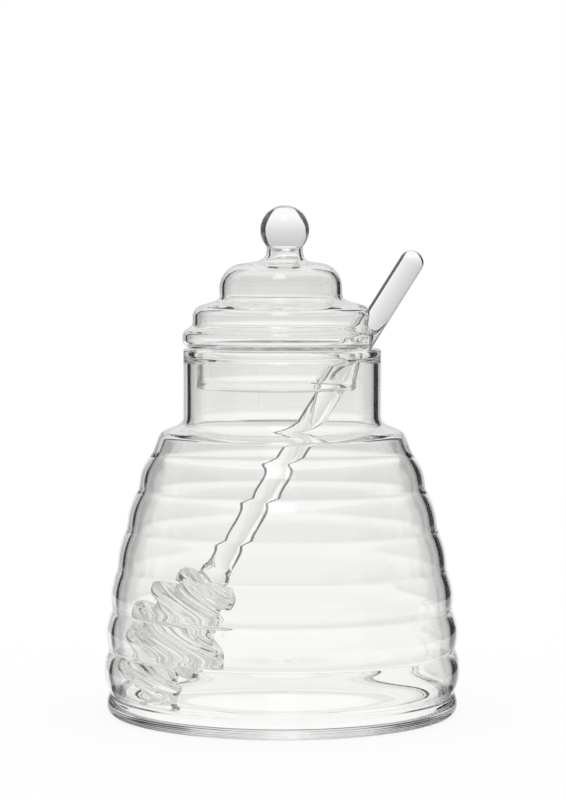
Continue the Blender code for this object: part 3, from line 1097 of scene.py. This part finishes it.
def studio_world(studio):
    """A white surround for the eye; for the glass, a grey sweep with black flags at either side."""
    world = bpy.data.worlds.new("studio_world")
    world.use_nodes = True
    tree = world.node_tree
    tree.nodes.clear()
    place = add_node(tree, "ShaderNodeTexCoord").outputs["Generated"]
    parts = add_node(tree, "ShaderNodeSeparateXYZ", {"Vector": place}).outputs
    right = combine(tree, "DEGREES", combine(tree, "ARCTAN2", parts["X"], parts["Y"]))
    above = combine(tree, "DEGREES", combine(tree, "ARCSINE", parts["Z"]))
    path = add_node(tree, "ShaderNodeLightPath").outputs

    # Walls show the sweep otherwise than rods and balls do. Light that went through whole walls met
    # two surfaces in each of two walls, so its depth leaves 1 over from fours; light that turned back
    # once between the surfaces of a wall leaves 0
    crossed = combine(tree, "MODULO", path["Ray Depth"], SURFACES_OF_TWO_WALLS)
    past_walls = combine(tree, "LESS_THAN", crossed, MOST_LEFT_BY_WALLS)
    sheltered = combine(tree, "GREATER_THAN", path["Ray Depth"], SHELTERED_DEPTH)
    by_walls = combine(
        tree, "MAXIMUM", past_walls, combine(tree, "MULTIPLY", sheltered, SHELTERED_BY_WALLS)
    )
    light = mix(tree, by_walls, sweep(tree, above, SOLID_SWEEP), sweep(tree, above, WALL_SWEEP))
    light = combine(tree, "MULTIPLY", light, studio.sweep_light)

    # Light led along inside the floor comes out a little upwards, where the studio is plain white
    led = combine(
        tree,
        "MULTIPLY",
        ramp(tree, above, LED_FOOT, LED_FOOT + LED_SOFT),
        ramp(tree, above, LED_TOP, LED_TOP - LED_SOFT),
    )
    led = combine(tree, "MULTIPLY", led, sheltered)
    light = mix(tree, led, light, 1.0)
    overhead = ramp(tree, above, TOP_START, TOP_END)
    light = mix(tree, overhead, light, mix(tree, sheltered, studio.top_light, SHELTERED_TOP_LIGHT))
    low = ramp(tree, above, -SHELTERED_LOW_START, -SHELTERED_LOW_END)
    underneath = combine(tree, "MULTIPLY", low, sheltered)
    light = mix(tree, underneath, light, SHELTERED_TOP_LIGHT)

    shade = flag_shade(tree, right, above, past_walls, sheltered, path)
    shade = combine(tree, "MULTIPLY", shade, combine(tree, "SUBTRACT", 1.0, led))
    kept = combine(tree, "SUBTRACT", 1.0, combine(tree, "MULTIPLY", shade, studio.flag_dark))
    light = combine(tree, "MULTIPLY", light, kept)

    behind = combine(tree, "ARCTAN2", parts["X"], combine(tree, "MULTIPLY", parts["Y"], -1.0))
    window = patch(
        tree,
        combine(tree, "DEGREES", behind),
        above,
        -WINDOW_HALF_WIDTH,
        WINDOW_HALF_WIDTH,
        WINDOW_FOOT,
        WINDOW_TOP,
        WINDOW_SOFT,
    )
    light = combine(tree, "ADD", light, combine(tree, "MULTIPLY", window, studio.window_light))
    glass_ray = combine(tree, "MAXIMUM", path["Is Transmission Ray"], path["Is Glossy Ray"])
    strength = mix(tree, glass_ray, 1.0, light)
    shown = add_node(tree, "ShaderNodeBackground", {"Color": WHITE, "Strength": strength})
    add_node(tree, "ShaderNodeOutputWorld", {"Surface": shown.outputs["Background"]})
    return world


def matt_acrylic(studio):
    """Matt white acrylic sheet: white up to its edge, with the pot's soft shade on it."""
    material = bpy.data.materials.new("matt_white_acrylic_sheet")
    material.use_nodes = True
    tree = material.node_tree
    tree.nodes.clear()
    sheet = add_node(tree, "ShaderNodeBsdfDiffuse", {"Color": WHITE})
    white = add_node(tree, "ShaderNodeEmission", {"Strength": 1.0})
    mixed = add_node(
        tree,
        "ShaderNodeMixShader",
        {0: studio.floor_shadow, 1: white.outputs["Emission"], 2: sheet.outputs["BSDF"]},
    )
    add_node(tree, "ShaderNodeOutputMaterial", {"Surface": mixed.outputs["Shader"]})
    return material


class HONEY_POT_OT_stage(bpy.types.Operator):
    """Set up the floor, the light and the camera"""

    bl_idname = "honey_pot.stage"
    bl_label = "Stage"

    def execute(self, context):
        studio = context.scene.honey_pot.studio
        bpy.ops.mesh.primitive_circle_add(
            vertices=FLOOR_SEGMENTS, radius=FLOOR_RADIUS, fill_type="NGON"
        )
        floor = context.object
        floor.name = "floor"
        floor.location.z = -FLOOR_GAP
        floor.visible_transmission = False
        floor.visible_glossy = False
        floor.data.materials.append(matt_acrylic(studio))

        context.scene.world = studio_world(studio)

        lens = bpy.data.cameras.new("camera")
        lens.sensor_fit = "AUTO"
        lens.sensor_width = SENSOR
        lens.lens = SENSOR * FOCAL_PIXELS / IMAGE_HEIGHT
        eye = bpy.data.objects.new("camera", lens)
        context.scene.collection.objects.link(eye)
        eye.location = (studio.eye_aside, -studio.eye_distance, studio.eye_height)
        eye.rotation_euler = (math.pi / 2 - studio.eye_pitch, 0.0, 0.0)
        context.scene.camera = eye

        context.scene.view_settings.view_transform = "Standard"
        context.scene.cycles.max_bounces = GLASS_BOUNCES
        context.scene.cycles.transmission_bounces = GLASS_BOUNCES
        context.scene.cycles.glossy_bounces = GLASS_BOUNCES
        return {"FINISHED"}


class HONEY_POT_PT_sidebar(bpy.types.Panel):
    """The honey pot's pieces, sizes and studio"""

    bl_idname = "HONEY_POT_PT_sidebar"
    bl_label = "Honey Pot"
    bl_space_type = "VIEW_3D"
    bl_region_type = "UI"
    bl_category = "Honey Pot"

    def draw(self, context):
        pot = context.scene.honey_pot
        for operator, group in PANEL_ROWS:
            column = self.layout.column(align=True)
            if operator:
                column.operator(operator)
            sizes = getattr(pot, group)
            for name in sizes.__annotations__:
                column.prop(sizes, name)


PANEL_ROWS = (
    ("honey_pot.jar", "jar"),
    ("honey_pot.lid", "lid"),
    ("honey_pot.dipper", "dipper"),
    ("", "glass"),
    ("honey_pot.stage", "studio"),
)

CLASSES = (
    JarSizes,
    LidSizes,
    DipperSizes,
    GlassFinish,
    StudioSettings,
    HoneyPotSettings,
    HONEY_POT_OT_jar,
    HONEY_POT_OT_lid,
    HONEY_POT_OT_dipper,
    HONEY_POT_OT_stage,
    HONEY_POT_PT_sidebar,
)


def register():
    for made in CLASSES:
        bpy.utils.register_class(made)
    bpy.types.Scene.honey_pot = PointerProperty(
        type=HoneyPotSettings, name="Honey pot", description="Sizes, finish and studio of the honey pot"
    )


def unregister():
    del bpy.types.Scene.honey_pot
    for made in reversed(CLASSES):
        bpy.utils.unregister_class(made)


def clear_scene():
    """Removes what the scene held before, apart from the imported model."""
    kept = set(frame["bodies"].values()) | set(frame["nodes"].values())
    for old in list(bpy.data.objects):
        if old not in kept:
            bpy.data.objects.remove(old, do_unlink=True)


def main():
    register()
    clear_scene()
    bpy.ops.honey_pot.jar()
    bpy.ops.honey_pot.lid()
    bpy.ops.honey_pot.dipper()
    bpy.ops.honey_pot.stage()


if __name__ == "__main__":
    main()
